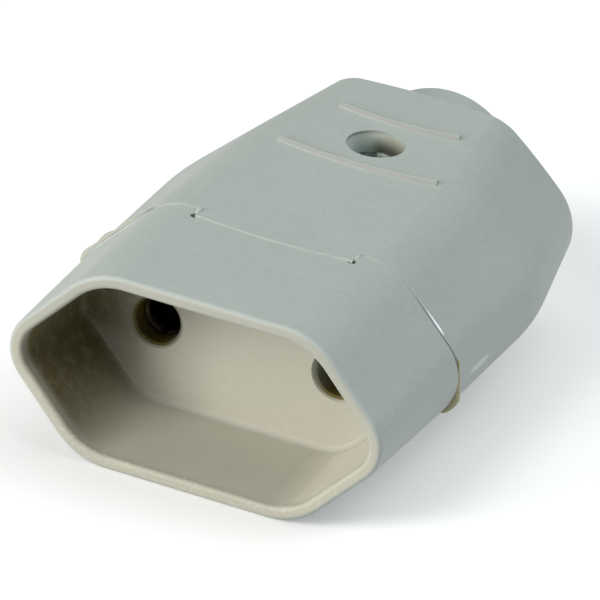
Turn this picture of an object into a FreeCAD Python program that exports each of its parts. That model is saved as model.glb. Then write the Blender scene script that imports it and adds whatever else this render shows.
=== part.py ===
# Two-pole inline socket connector: a hooded front moulding, two rear shells and the parts they hold.
# Millimetres. The origin is the middle of the recess floor, -Y faces the mating plug and +Z is up.
import FreeCAD, Part
import math
import os
import re
import Sketcher
from FreeCAD import Placement, Rotation, Vector

SIZES = {
    # Six-sided outline, corner to corner before rounding: rim, seam, widest place and rear
    "hood_width": 41.8,
    "hood_flat": 23.0,
    "hood_height": 20.3,
    "hood_side_radius": 4.4,
    "hood_edge_radius": 7.5,
    "seam_width": 43.3,
    "seam_flat": 23.8,
    "seam_side_radius": 5.2,
    "seam_edge_radius": 6.3,
    "body_width": 44.5,
    "body_flat": 22.3,
    "body_side_radius": 4.9,
    "body_edge_radius": 7.3,
    "rear_width": 37.5,
    "rear_flat": 15.7,
    "rear_side_radius": 5.8,
    "rear_edge_radius": 4.0,
    "inner_corner_min": 0.5,
    # Stations along the body, and the rear face's arcs seen from above and from the side
    "recess_depth": 12.0,
    "seam_station": 5.4,
    "taper_station": 24.4,
    "rear_station": 42.4,
    "collar_station": 46.8,
    "bend_reach": 3.0,
    "rear_bow": 59.0,
    "rear_dome": 24.4,
    "cut_margin": 2.0,
    # Hood, recess and seam
    "hood_wall": 1.3,
    "recess_draft": 0.5,
    "rim_round": 0.45,
    "floor_round": 0.7,
    "floor_thickness": 2.2,
    "seam_gap": 0.1,
    "seam_round": 0.2,
    "seam_band": 0.6,
    # Neck and flange that the shells grip
    "neck_inset": 4.0,
    "lip_length": 2.0,
    "lip_clearance": 0.15,
    "flange_thickness": 1.8,
    "flange_clearance": 0.25,
    # Shells
    "shell_wall": 1.8,
    "flat_skim": 0.05,
    "cavity_end_inset": 3.0,
    "rear_wall": 4.7,
    "collar_radius": 8.25,
    "collar_round": 1.0,
    "cord_bore_radius": 3.6,
    "cord_bore_flare": 2.0,
    # Tab of each shell in its notch of the hood
    "tab_width": 16.4,
    "tab_reach": 2.2,
    "tab_bow": 58.0,
    "tab_thickness": 1.4,
    "tab_clearance": 0.12,
    "tab_round": 0.25,
    "relief_radius": 0.45,
    "relief_depth": 1.8,
    # Raised bars on the upper shell
    "bar_radius": 0.5,
    "bar_sink": 0.15,
    "front_bar_station": 22.35,
    "front_bar_length": 16.8,
    "front_bar_bow": 39.0,
    "rear_bar_station": 32.6,
    "rear_bar_length": 12.7,
    "rear_bar_bow": 27.0,
    # Housing screw and nut
    "screw_station": 27.6,
    "boss_radius": 4.4,
    "screw_head_radius": 2.6,
    "screw_head_height": 1.9,
    "screw_head_depth": 1.9,
    "screw_head_clearance": 0.3,
    "screw_shank_radius": 1.45,
    "screw_hole_clearance": 0.25,
    "screw_slot_width": 0.8,
    "screw_slot_depth": 0.9,
    "screw_head_bevel": 0.5,
    "screw_tip_reach": 0.2,
    "nut_flats": 5.5,
    "nut_thickness": 2.4,
    "nut_recess": 1.2,
    "nut_clearance": 0.1,
    "thread_clearance": 0.05,
    # Contacts
    "pin_pitch": 19.0,
    "pin_hole_radius": 2.35,
    "pin_hole_chamfer": 0.4,
    "pin_bore_radius": 2.05,
    "pin_reach": 19.6,
    "sleeve_radius": 2.75,
    "sleeve_clearance": 0.2,
    "sleeve_gap": 0.2,
    "sleeve_chamfer": 0.3,
    "sleeve_slot": 0.6,
    "slot_root": 2.0,
    "tube_wall": 1.4,
    "tube_end": 16.9,
    "web_thickness": 1.6,
    "block_gap": 0.1,
    "block_size": 6.0,
    "block_length": 8.5,
    "wire_hole_radius": 1.4,
    "wire_hole_depth": 4.9,
    "stop_thickness": 1.4,
    "stop_opening": 4.4,
    # Terminal screws
    "terminal_screw_inset": 2.6,
    "terminal_shank_radius": 1.25,
    "terminal_head_radius": 2.2,
    "terminal_head_height": 1.5,
    "terminal_slot_width": 0.6,
    "terminal_slot_depth": 0.8,
    # Cord clamp
    "clamp_station": 34.5,
    "clamp_width": 4.4,
    "clamp_length": 19.2,
    "clamp_thickness": 1.8,
    "clamp_bore_radius": 3.3,
    "clamp_arch_wall": 1.7,
    "clamp_screw_inset": 2.4,
    "clamp_screw_radius": 1.2,
    "clamp_screw_reach": 5.0,
    "clamp_hole_clearance": 0.3,
    "clamp_head_radius": 2.1,
    "clamp_head_height": 1.5,
    "clamp_slot_width": 0.6,
    "clamp_slot_depth": 0.7,
}

ALIAS = re.compile(r"[a-z]+(?:_[a-z]+)+")
PLANE_NORMALS = {"XY_Plane": "+Z", "XZ_Plane": "-Y", "YZ_Plane": "+X"}
CUTTERS = ("PartDesign::Pocket", "PartDesign::SubtractiveLoft")
START, END, CENTRE = range(1, 4)
X_AXIS, Y_AXIS = -1, -2
LINE_TOLERANCE = 1e-6
PLACE_TOLERANCE = 1e-4
SIZE_TOLERANCE = 1e-3

doc = FreeCAD.newDocument("inline_socket")
sheet = doc.addObject("Spreadsheet::Sheet", "Sizes")
for row, (alias, size) in enumerate(SIZES.items(), start=1):
    sheet.set(f"A{row}", alias)
    sheet.set(f"B{row}", str(size))
    sheet.setAlias(f"B{row}", alias)
doc.recompute()


# Expressions on the sheet

def linked(expression):
    """An expression with each size name pointed at its cell."""
    return ALIAS.sub(lambda match: f"Sizes.{match.group()}", str(expression))


def number(expression):
    """The present value of an expression."""
    return float(sheet.evalExpression(linked(expression)))


class Hexagon:
    """A six-sided section with rounded corners, its sizes given as expressions."""

    def __init__(self, width, flat, height, side_radius, edge_radius):
        self.width = width
        self.flat = flat
        self.height = height
        self.side_radius = side_radius
        self.edge_radius = edge_radius

    def inset(self, gap):
        """The same section with every side moved in by a gap."""
        slope = f"atan(({self.height}) / (({self.width}) - ({self.flat})))"
        return Hexagon(
            f"{self.width} - 2 * ({gap}) / sin({slope})",
            f"{self.flat} - 2 * ({gap}) * tan({slope} / 2)",
            f"{self.height} - 2 * ({gap})",
            f"max({self.side_radius} - ({gap}); inner_corner_min)",
            f"max({self.edge_radius} - ({gap}); inner_corner_min)",
        )


HEXAGON_SIZES = ("width", "flat", "height", "side_radius", "edge_radius")
HOOD = Hexagon("hood_width", "hood_flat", "hood_height", "hood_side_radius", "hood_edge_radius")
SEAM = Hexagon("seam_width", "seam_flat", "hood_height", "seam_side_radius", "seam_edge_radius")
PROUD = "hood_height + 2 * flat_skim"
FLARE = Hexagon("seam_width", "seam_flat", PROUD, "seam_side_radius", "seam_edge_radius")
BODY = Hexagon("body_width", "body_flat", PROUD, "body_side_radius", "body_edge_radius")
REAR = Hexagon("rear_width", "rear_flat", PROUD, "rear_side_radius", "rear_edge_radius")


# Sketches

def new_body(node):
    """An empty body that carries its node's name."""
    body = doc.addObject("PartDesign::Body", node)
    body.Label = node
    return body


def sketch_on(body, name, role, offset="0"):
    """A sketch on one of the body's origin planes, moved along +X, +Y or +Z by an expression."""
    sketch = body.newObject("Sketcher::SketchObject", name)
    plane = next(feature for feature in body.Origin.OriginFeatures if feature.Role == role)
    sketch.AttachmentSupport = [(plane, "")]
    sketch.MapMode = "FlatFace"
    sign = "-" if PLANE_NORMALS[role].startswith("-") else ""
    along_normal = f"{sign}({offset})"
    sketch.AttachmentOffset = Placement(Vector(0, 0, number(along_normal)), Rotation())
    sketch.setExpression("AttachmentOffset.Base.z", linked(along_normal))
    return sketch


def dimension(sketch, kind, elements, expression):
    """A dimension bound to an expression, its points swapped when the value is negative."""
    size = number(expression)
    if size < 0:
        elements = elements[2:] + elements[:2]
        expression = f"-({expression})"
    index = sketch.addConstraint(Sketcher.Constraint(kind, *elements, abs(size)))
    sketch.setExpression(f"Constraints[{index}]", linked(expression))


def pin_point(sketch, geometry, end, x, y):
    """Holds a point at a place given by two expressions."""
    for kind, axis, expression in (("DistanceX", Y_AXIS, x), ("DistanceY", X_AXIS, y)):
        if abs(number(expression)) < LINE_TOLERANCE:
            sketch.addConstraint(Sketcher.Constraint("PointOnObject", geometry, end, axis))
        else:
            dimension(sketch, kind, (X_AXIS, START, geometry, end), expression)


def draw_circle(sketch, x, y, radius):
    """A circle with its centre and radius bound to expressions."""
    centre = Vector(number(x), number(y), 0)
    circle = Part.Circle(centre, Vector(0, 0, 1), number(radius))
    index = sketch.addGeometry(circle, False)
    pin_point(sketch, index, CENTRE, x, y)
    dimension(sketch, "Radius", (index,), radius)


def draw_polygon(sketch, corners):
    """A closed outline of straight lines through corners given as pairs of expressions."""
    points = [Vector(number(x), number(y), 0) for x, y in corners]
    lines = [sketch.addGeometry(Part.LineSegment(points[i], points[(i + 1) % len(points)]), False)
             for i in range(len(points))]
    for i, line in enumerate(lines):
        following = lines[(i + 1) % len(lines)]
        sketch.addConstraint(Sketcher.Constraint("Coincident", line, END, following, START))
    for line, (x, y) in zip(lines, corners):
        pin_point(sketch, line, START, x, y)


def draw_rectangle(sketch, low, high):
    """A rectangle between two corners given as pairs of expressions."""
    draw_polygon(sketch, [low, (high[0], low[1]), high, (low[0], high[1])])


def draw_nut_outline(sketch, x, y, flats):
    """A regular hexagon with two flats along X, bound to its width across flats."""
    half = f"({flats}) / 2"
    side = f"({flats}) / (2 * sqrt(3))"
    draw_polygon(sketch, [
        (f"{x} + 2 * {side}", y),
        (f"{x} + {side}", f"{y} + {half}"),
        (f"{x} - {side}", f"{y} + {half}"),
        (f"{x} - 2 * {side}", y),
        (f"{x} - {side}", f"{y} - {half}"),
        (f"{x} + {side}", f"{y} - {half}"),
    ])


def draw_hexagon(sketch, section):
    """The rounded six-sided section: six lines, six tangent arcs and the sharp corners as points."""
    wide = number(section.width) / 2
    flat = number(section.flat) / 2
    tall = number(section.height) / 2
    corners = [Vector(wide, 0), Vector(flat, tall), Vector(-flat, tall),
               Vector(-wide, 0), Vector(-flat, -tall), Vector(flat, -tall)]
    right, top_right, top_left, left, low_left, low_right = range(6)
    arcs, entries, exits = [], [], []
    for i, corner in enumerate(corners):
        radius = number(section.side_radius if i in (right, left) else section.edge_radius)
        back = (corners[i - 1] - corner).normalize()
        ahead = (corners[(i + 1) % 6] - corner).normalize()
        half_angle = back.getAngle(ahead) / 2
        run = radius / math.tan(half_angle)
        centre = corner + (back + ahead).normalize() * (radius / math.sin(half_angle))
        entry = corner + back * run
        leave = corner + ahead * run
        first = math.atan2(entry.y - centre.y, entry.x - centre.x)
        last = math.atan2(leave.y - centre.y, leave.x - centre.x)
        arcs.append(Part.ArcOfCircle(Part.Circle(centre, Vector(0, 0, 1), radius), first, last))
        entries.append(entry)
        exits.append(leave)
    lines = [sketch.addGeometry(Part.LineSegment(exits[i], entries[(i + 1) % 6]), False) for i in range(6)]
    rounds = [sketch.addGeometry(arc, False) for arc in arcs]
    points = [sketch.addGeometry(Part.Point(corner), True) for corner in corners]
    for i in range(6):
        sketch.addConstraint(Sketcher.Constraint("Tangent", lines[i - 1], END, rounds[i], START))
        sketch.addConstraint(Sketcher.Constraint("Tangent", rounds[i], END, lines[i], START))
        sketch.addConstraint(Sketcher.Constraint("PointOnObject", points[i], START, lines[i - 1]))
        sketch.addConstraint(Sketcher.Constraint("PointOnObject", points[i], START, lines[i]))
    sketch.addConstraint(Sketcher.Constraint("PointOnObject", points[right], START, X_AXIS))
    mirrored = ((left, right, Y_AXIS), (top_left, top_right, Y_AXIS),
                (low_right, top_right, X_AXIS), (low_left, top_left, X_AXIS))
    for copy, original, axis in mirrored:
        sketch.addConstraint(
            Sketcher.Constraint("Symmetric", points[copy], START, points[original], START, axis))
    dimension(sketch, "DistanceX", (points[left], START, points[right], START), section.width)
    dimension(sketch, "DistanceX", (points[top_left], START, points[top_right], START), section.flat)
    dimension(sketch, "DistanceY", (points[low_right], START, points[top_right], START), section.height)
    for i in range(6):
        radius = section.side_radius if i in (right, left) else section.edge_radius
        dimension(sketch, "Radius", (rounds[i],), radius)


def draw_bowed_box(sketch, width, crest, centre, back):
    """A box on the middle line whose front is an arc through the crest; back is its straight side."""
    middle = number(centre)
    half = number(f"({width}) / 2")
    radius = abs(number(crest) - middle)
    facing = math.copysign(math.pi / 2, number(crest) - middle)
    reach = math.asin(half / radius)
    circle = Part.Circle(Vector(0, middle, 0), Vector(0, 0, 1), radius)
    arc = sketch.addGeometry(Part.ArcOfCircle(circle, facing - reach, facing + reach), False)
    foot = middle + math.copysign(radius * math.cos(reach), facing)
    side = -math.copysign(half, facing)
    rear = number(back)
    corners = [Vector(side, foot, 0), Vector(side, rear, 0), Vector(-side, rear, 0), Vector(-side, foot, 0)]
    lines = [sketch.addGeometry(Part.LineSegment(corners[i], corners[i + 1]), False) for i in range(3)]
    chain = [(arc, END, lines[0], START), (lines[0], END, lines[1], START),
             (lines[1], END, lines[2], START), (lines[2], END, arc, START)]
    for link in chain:
        sketch.addConstraint(Sketcher.Constraint("Coincident", *link))
    sketch.addConstraint(Sketcher.Constraint("Vertical", lines[0]))
    sketch.addConstraint(Sketcher.Constraint("Vertical", lines[2]))
    sketch.addConstraint(Sketcher.Constraint("PointOnObject", arc, CENTRE, Y_AXIS))
    sketch.addConstraint(Sketcher.Constraint("Symmetric", lines[1], START, lines[1], END, Y_AXIS))
    dimension(sketch, "DistanceY", (X_AXIS, START, arc, CENTRE), centre)
    dimension(sketch, "Radius", (arc,), f"abs(({crest}) - ({centre}))")
    ends = (lines[1], START, lines[1], END) if side < 0 else (lines[1], END, lines[1], START)
    dimension(sketch, "DistanceX", ends, width)
    dimension(sketch, "DistanceY", (X_AXIS, START, lines[1], START), back)


# Features

def extrude(body, kind, sketch, length, along, symmetric=False):
    """A Pad or Pocket of a sketch, by an expression, along a signed axis of the part."""
    feature = body.newObject(f"PartDesign::{kind}", f"{sketch.Name}_{kind}")
    feature.Profile = sketch
    feature.Length = number(length)
    feature.setExpression("Length", linked(length))
    with_normal = PLANE_NORMALS[sketch.AttachmentSupport[0][0].Role] == along
    feature.Reversed = with_normal if kind == "Pocket" else not with_normal
    if symmetric:
        feature.SideType = "Symmetric"
    return feature


def loft(body, kind, first, *others):
    """A straight-sided loft, added or taken away, through sketches."""
    feature = body.newObject(f"PartDesign::{kind}", f"{first.Name}_{kind}")
    feature.Profile = first
    feature.Sections = list(others)
    feature.Ruled = True
    return feature


def hexagon_at(body, name, station, section):
    """A rounded six-sided sketch across the body at a station."""
    sketch = sketch_on(body, name, "XZ_Plane", station)
    draw_hexagon(sketch, section)
    return sketch


def circles_at(body, name, station, centres, radius):
    """Circles across the body at a station."""
    sketch = sketch_on(body, name, "XZ_Plane", station)
    for x, z in centres:
        draw_circle(sketch, x, z, radius)
    return sketch


def round_at(body, name, x, y, height, radius):
    """One circle seen from above, at a height."""
    sketch = sketch_on(body, name, "XY_Plane", height)
    draw_circle(sketch, x, y, radius)
    return sketch


def box_at(body, name, role, offset, low, high):
    """A rectangle on a plane of the body."""
    sketch = sketch_on(body, name, role, offset)
    draw_rectangle(sketch, low, high)
    return sketch


def edges_where(feature, wanted):
    """Names of a feature's edges that pass a test on the edge."""
    doc.recompute()
    return [f"Edge{i}" for i, edge in enumerate(feature.Shape.Edges, start=1) if wanted(edge)]


def lies_at_station(edge, station):
    """Whether an edge lies in the plane across the body at a station."""
    box = edge.BoundBox
    return abs(box.YMin - station) < PLACE_TOLERANCE and abs(box.YMax - station) < PLACE_TOLERANCE


def has_height(edge, height):
    """Whether an edge is as tall as a height."""
    return abs(edge.BoundBox.ZLength - height) < SIZE_TOLERANCE


def dress(body, kind, name, base, wanted, prop, size):
    """A Fillet or Chamfer on the edges of the base that pass a test."""
    names = edges_where(base, wanted)
    if not names:
        raise RuntimeError(f"no edge found for {name}")
    feature = body.newObject(f"PartDesign::{kind}", name)
    feature.Base = (base, names)
    setattr(feature, prop, number(size))
    feature.setExpression(prop, linked(size))
    return feature


def turned_bar(body, name, station, height, bow, length):
    """A round ridge that follows an arc across the top, bowed towards the hood."""
    sketch = sketch_on(body, name, "YZ_Plane")
    centre = f"{station} + {bow}"
    sketch.AttachmentOffset = Placement(Vector(number(centre), 0, 0), Rotation())
    sketch.setExpression("AttachmentOffset.Base.x", linked(centre))
    draw_circle(sketch, f"-({bow})", height, "bar_radius")
    feature = body.newObject("PartDesign::Revolution", f"{name}_ridge")
    feature.Profile = sketch
    feature.ReferenceAxis = (sketch, ["V_Axis"])
    turn_across(feature, length, bow)


def turn_across(feature, span, radius):
    """Turns a feature about its axis, half to each side, by what a span takes up on a radius."""
    angle = f"2 * asin({span} / 2 / ({radius}))"
    feature.Angle = number(angle)
    feature.setExpression("Angle", linked(angle))
    feature.Midplane = True


# Front moulding

LIP_END = "seam_station + seam_gap + lip_length"
FLANGE_START = f"{LIP_END} + lip_clearance"
PIN_SIDES = ("-pin_pitch / 2", "pin_pitch / 2")
TAB_FRONT = "seam_station - tab_reach"
TAB_CENTRE = f"{TAB_FRONT} + tab_bow"
TAB_CORNER = f"{TAB_CENTRE} - sqrt(tab_bow ^ 2 - (tab_width / 2) ^ 2)"


def build_front_socket():
    """Hood with its recess, then the neck, flange and tubes behind the recess floor."""
    body = new_body("front_socket")
    hood = loft(body, "AdditiveLoft", hexagon_at(body, "hood", "-recess_depth", HOOD),
                hexagon_at(body, "hood_back", "seam_station", SEAM))
    mouth = hexagon_at(body, "recess_mouth", "-recess_depth", HOOD.inset("hood_wall"))
    floor = hexagon_at(body, "recess_floor", "0", HOOD.inset("hood_wall + recess_draft"))
    hood = loft(body, "SubtractiveLoft", mouth, floor)
    rim = -number("recess_depth")
    seam = number("seam_station")
    hood = dress(body, "Fillet", "rim_rounding", hood,
                 lambda edge: lies_at_station(edge, rim), "Radius", "rim_round")
    hood = dress(body, "Fillet", "floor_rounding", hood,
                 lambda edge: lies_at_station(edge, 0), "Radius", "floor_round")
    hood = dress(body, "Fillet", "seam_rounding", hood,
                 lambda edge: lies_at_station(edge, seam), "Radius", "seam_round")
    extrude(body, "Pad", hexagon_at(body, "neck", "seam_station", HOOD.inset("neck_inset")),
            f"{FLANGE_START} - seam_station", "+Y")
    flange = SEAM.inset("shell_wall + flange_clearance")
    extrude(body, "Pad", hexagon_at(body, "flange", FLANGE_START, flange), "flange_thickness", "+Y")
    tube_radius = "sleeve_radius + sleeve_clearance + tube_wall"
    centres = [(x, "0") for x in PIN_SIDES]
    extrude(body, "Pad", circles_at(body, "tubes", FLANGE_START, centres, tube_radius),
            f"tube_end - ({FLANGE_START})", "+Y")
    web = box_at(body, "web", "XZ_Plane", FLANGE_START,
                 (PIN_SIDES[0], "-web_thickness / 2"), (PIN_SIDES[1], "web_thickness / 2"))
    extrude(body, "Pad", web, f"tube_end - ({FLANGE_START})", "+Y")
    extrude(body, "Pocket",
            circles_at(body, "tunnels", "tube_end", centres, "sleeve_radius + sleeve_clearance"),
            "tube_end - floor_thickness", "-Y")
    holes = extrude(body, "Pocket", circles_at(body, "pin_holes", "0", centres, "pin_hole_radius"),
                    "floor_thickness", "+Y")
    hole_width = number("2 * pin_hole_radius")
    dress(body, "Chamfer", "pin_hole_lead", holes,
          lambda edge: lies_at_station(edge, 0) and has_height(edge, hole_width),
          "Size", "pin_hole_chamfer")
    for side, word in ((1, "top"), (-1, "bottom")):
        cut_tab_notch(body, side, word)
    return body


def cut_tab_notch(body, side, word):
    """The notch for one shell's tab, with a small relief hole at each front corner."""
    face = f"{side} * hood_height / 2"
    inwards = "-Z" if side > 0 else "+Z"
    notch = sketch_on(body, f"{word}_notch", "XY_Plane", face)
    draw_bowed_box(notch, "tab_width + 2 * tab_clearance", f"{TAB_FRONT} - tab_clearance", TAB_CENTRE,
                   "seam_station + cut_margin")
    extrude(body, "Pocket", notch, "tab_thickness + tab_clearance", inwards)
    relief = sketch_on(body, f"{word}_relief", "XY_Plane", face)
    for x in ("-tab_width / 2", "tab_width / 2"):
        draw_circle(relief, x, TAB_CORNER, "relief_radius")
    extrude(body, "Pocket", relief, "relief_depth", inwards)


# Shells

SHELL_FRONT = "seam_station + seam_gap"
FLARE_START = f"{SHELL_FRONT} + seam_band"
CAVITY_END = "rear_station - rear_wall"
BLOCK_START = "tube_end + block_gap"
BLOCK_END = f"{BLOCK_START} + block_length"
BOSS_REACH = "hood_height / 2 - shell_wall / 2"
HEAD_SEAT = "hood_height / 2 - screw_head_depth - screw_head_height"
NUT_SEAT = "hood_height / 2 - nut_recess - nut_thickness"
BEND_STEPS = (-1, -0.5, 0, 0.5, 1)


def bend_section(step):
    """The section part of the way round the bend, from -1 on the flare to 1 on the taper."""
    flare = f"bend_reach * {(1 - step) ** 2 / 4} / (taper_station - ({FLARE_START}))"
    taper = f"bend_reach * {(1 + step) ** 2 / 4} / (rear_station - taper_station)"
    blended = []
    for name in HEXAGON_SIZES:
        seam, body, rear = (getattr(section, name) for section in (FLARE, BODY, REAR))
        blended.append(f"{body} + ({seam} - {body}) * {flare} + ({rear} - {body}) * {taper}")
    return Hexagon(*blended)


def build_shell(node, side):
    """One half of the rear housing; side is 1 for the upper half and -1 for the lower."""
    body = new_body(node)
    inwards, outwards = ("-Z", "+Z") if side > 0 else ("+Z", "-Z")
    form_outside(body)
    form_inside(body)
    far = "hood_width"
    halving = box_at(body, f"{node}_halving", "XZ_Plane", "seam_station - cut_margin",
                     (f"-({far})", "0"), (far, f"{-side} * hood_height"))
    extrude(body, "Pocket", halving, "collar_station - seam_station + 2 * cut_margin", "+Y")
    boss = round_at(body, f"{node}_boss", "0", "screw_station", "0", "boss_radius")
    extrude(body, "Pad", boss, BOSS_REACH, outwards)
    stop = box_at(body, f"{node}_contact_stop", "XZ_Plane", f"{BLOCK_END} + block_gap",
                  ("-body_flat / 2", f"{side} * stop_opening / 2"),
                  ("body_flat / 2", f"{side} * (hood_height / 2 - 3 * shell_wall / 4)"))
    extrude(body, "Pad", stop, "stop_thickness", "+Y")
    shank = round_at(body, f"{node}_screw_hole", "0", "screw_station", "0",
                     "screw_shank_radius + screw_hole_clearance")
    extrude(body, "Pocket", shank, "hood_height", outwards)
    tab = sketch_on(body, f"{node}_tab", "XY_Plane", f"{side} * hood_height / 2")
    draw_bowed_box(tab, "tab_width", TAB_FRONT, TAB_CENTRE, f"{SHELL_FRONT} + lip_length / 2")
    tab = extrude(body, "Pad", tab, "tab_thickness", inwards)
    front = number(TAB_FRONT)
    face = side * number("hood_height / 2")
    dress(body, "Fillet", f"{node}_tab_rounding", tab,
          lambda edge: abs(edge.BoundBox.YMin - front) < PLACE_TOLERANCE and has_height(edge, 0)
          and abs(edge.CenterOfMass.z - face) < PLACE_TOLERANCE, "Radius", "tab_round")
    return body


def form_outside(body):
    """The flared, then tapered outside with its domed rear face and the round cord collar."""
    front = hexagon_at(body, f"{body.Name}_front", SHELL_FRONT, FLARE)
    band = extrude(body, "Pad", front, "seam_band", "+Y")
    seam = number(SHELL_FRONT)
    dress(body, "Fillet", f"{body.Name}_seam_rounding", band,
          lambda edge: lies_at_station(edge, seam), "Radius", "seam_round")
    sections = [hexagon_at(body, f"{body.Name}_flare", FLARE_START, FLARE)]
    for count, step in enumerate(BEND_STEPS, start=1):
        station = f"taper_station + {step} * bend_reach"
        sections.append(hexagon_at(body, f"{body.Name}_bend_{count}", station, bend_section(step)))
    sections.append(hexagon_at(body, f"{body.Name}_rear", "rear_station", REAR))
    loft(body, "AdditiveLoft", *sections)
    level_flats(body)
    dome_rear(body)
    collar = circles_at(body, f"{body.Name}_collar", CAVITY_END, [("0", "0")], "collar_radius")
    collar = extrude(body, "Pad", collar, f"collar_station - ({CAVITY_END})", "+Y")
    end = number("collar_station")
    dress(body, "Fillet", f"{body.Name}_collar_rounding", collar,
          lambda edge: lies_at_station(edge, end), "Radius", "collar_round")


def level_flats(body):
    """Skims the top and the bottom to true planes at the hood's height."""
    for face, outwards, word in (("hood_height / 2", "+Z", "top"), ("-hood_height / 2", "-Z", "bottom")):
        low = ("-body_width / 2", f"{SHELL_FRONT} - cut_margin")
        high = ("body_width / 2", "rear_station + cut_margin")
        flat = box_at(body, f"{body.Name}_{word}_flat", "XY_Plane", face, low, high)
        extrude(body, "Pocket", flat, "cut_margin", outwards)


def dome_rear(body):
    """Turns the rear face to an arc seen from above and a tighter one seen from the side."""
    profile = sketch_on(body, f"{body.Name}_rear_dome", "YZ_Plane")
    axis = "rear_station - rear_bow"
    quarter_turn = Rotation(Vector(0, 0, 1), -90)
    profile.AttachmentOffset = Placement(Vector(number(axis), 0, 0), quarter_turn)
    profile.setExpression("AttachmentOffset.Base.x", linked(axis))
    draw_bowed_box(profile, "hood_height + cut_margin", "rear_bow", "rear_bow - rear_dome",
                   "rear_bow + 4 * cut_margin")
    feature = body.newObject("PartDesign::Groove", f"{body.Name}_rear_face")
    feature.Profile = profile
    feature.ReferenceAxis = (profile, ["H_Axis"])
    turn_across(feature, "body_width", "rear_bow")


def form_inside(body):
    """The cavity, the lip that grips the neck, and the flared cord bore."""
    lip = hexagon_at(body, f"{body.Name}_cavity_front", LIP_END, SEAM.inset("shell_wall"))
    bend = hexagon_at(body, f"{body.Name}_cavity_bend", "taper_station", BODY.inset("shell_wall"))
    back = hexagon_at(body, f"{body.Name}_cavity_back", CAVITY_END, REAR.inset("cavity_end_inset"))
    opening = hexagon_at(body, f"{body.Name}_lip_opening", SHELL_FRONT,
                         HOOD.inset("neck_inset - lip_clearance"))
    extrude(body, "Pocket", opening, "lip_length + lip_clearance", "+Y")
    loft(body, "SubtractiveLoft", lip, bend, back)
    bore = circles_at(body, f"{body.Name}_cord_bore", CAVITY_END, [("0", "0")], "cord_bore_radius")
    bore = extrude(body, "Pocket", bore, f"collar_station - ({CAVITY_END}) + cut_margin", "+Y")
    end = number("collar_station")
    width = number("2 * cord_bore_radius")
    dress(body, "Chamfer", f"{body.Name}_bore_flare", bore,
          lambda edge: lies_at_station(edge, end) and has_height(edge, width),
          "Size", "cord_bore_flare")


def finish_upper_shell(body):
    """The screw's counterbore and the two raised bars on top."""
    counterbore = round_at(body, "counterbore", "0", "screw_station", HEAD_SEAT,
                           "screw_head_radius + screw_head_clearance")
    extrude(body, "Pocket", counterbore, "hood_height", "+Z")
    for name in ("front_bar", "rear_bar"):
        turned_bar(body, name, f"{name}_station", "hood_height / 2 - bar_sink",
                   f"{name}_bow", f"{name}_length")


CLAMP_FRONT = "clamp_station - clamp_width / 2"
CLAMP_SIDES = ("-(clamp_length / 2 - clamp_screw_inset)", "clamp_length / 2 - clamp_screw_inset")


def finish_lower_shell(body):
    """The nut's pocket underneath and the saddle that the cord is clamped on."""
    pocket = sketch_on(body, "nut_pocket", "XY_Plane", f"-({NUT_SEAT})")
    draw_nut_outline(pocket, "0", "screw_station", "nut_flats + 2 * nut_clearance")
    extrude(body, "Pocket", pocket, "hood_height", "-Z")
    saddle = box_at(body, "saddle", "XZ_Plane", CLAMP_FRONT,
                    ("-clamp_length / 2", "-(hood_height / 2 - 3 * shell_wall / 4)"),
                    ("clamp_length / 2", "0"))
    extrude(body, "Pad", saddle, "clamp_width", "+Y")
    groove = circles_at(body, "saddle_groove", CLAMP_FRONT, [("0", "0")], "clamp_bore_radius")
    extrude(body, "Pocket", groove, "clamp_width", "+Y")
    holes = sketch_on(body, "saddle_screw_holes", "XY_Plane")
    for x in CLAMP_SIDES:
        draw_circle(holes, x, "clamp_station", "clamp_screw_radius + thread_clearance")
    extrude(body, "Pocket", holes, "clamp_screw_reach + thread_clearance", "-Z")


# Small parts, each modelled about its own axis and then placed

def slotted_screw(node, head_radius, head_height, shank_radius, reach, slot_width, slot_depth):
    """A slotted screw whose head stands on Z = 0 and whose shank points down."""
    body = new_body(node)
    head = round_at(body, f"{node}_head", "0", "0", "0", head_radius)
    head = extrude(body, "Pad", head, head_height, "+Z")
    top = number(head_height)
    dress(body, "Chamfer", f"{node}_head_bevel", head,
          lambda edge: abs(edge.BoundBox.ZMin - top) < PLACE_TOLERANCE, "Size",
          f"min(screw_head_bevel; {head_height} / 3)")
    shank = round_at(body, f"{node}_shank", "0", "0", "0", shank_radius)
    extrude(body, "Pad", shank, reach, "-Z")
    slot = box_at(body, f"{node}_slot", "XY_Plane", f"{head_height} - {slot_depth}",
                  (f"-2 * {head_radius}", f"-{slot_width} / 2"),
                  (f"2 * {head_radius}", f"{slot_width} / 2"))
    extrude(body, "Pocket", slot, f"2 * {slot_depth}", "+Z")
    return body


def place(body, x="0", y="0", z="0"):
    """Puts a body at a point given by three expressions."""
    body.Placement = Placement(Vector(number(x), number(y), number(z)), Rotation())
    for axis, expression in (("x", x), ("y", y), ("z", z)):
        body.setExpression(f"Placement.Base.{axis}", linked(expression))
    return body


def build_housing_nut():
    """The hexagon nut that the housing screw pulls on."""
    body = new_body("housing_nut")
    outline = sketch_on(body, "nut_outline", "XY_Plane")
    draw_nut_outline(outline, "0", "0", "nut_flats")
    extrude(body, "Pad", outline, "nut_thickness", "-Z")
    thread = round_at(body, "nut_thread", "0", "0", "0", "screw_shank_radius + thread_clearance")
    extrude(body, "Pocket", thread, "nut_thickness", "-Z")
    return place(body, y="screw_station", z=f"-({NUT_SEAT})")


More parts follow.
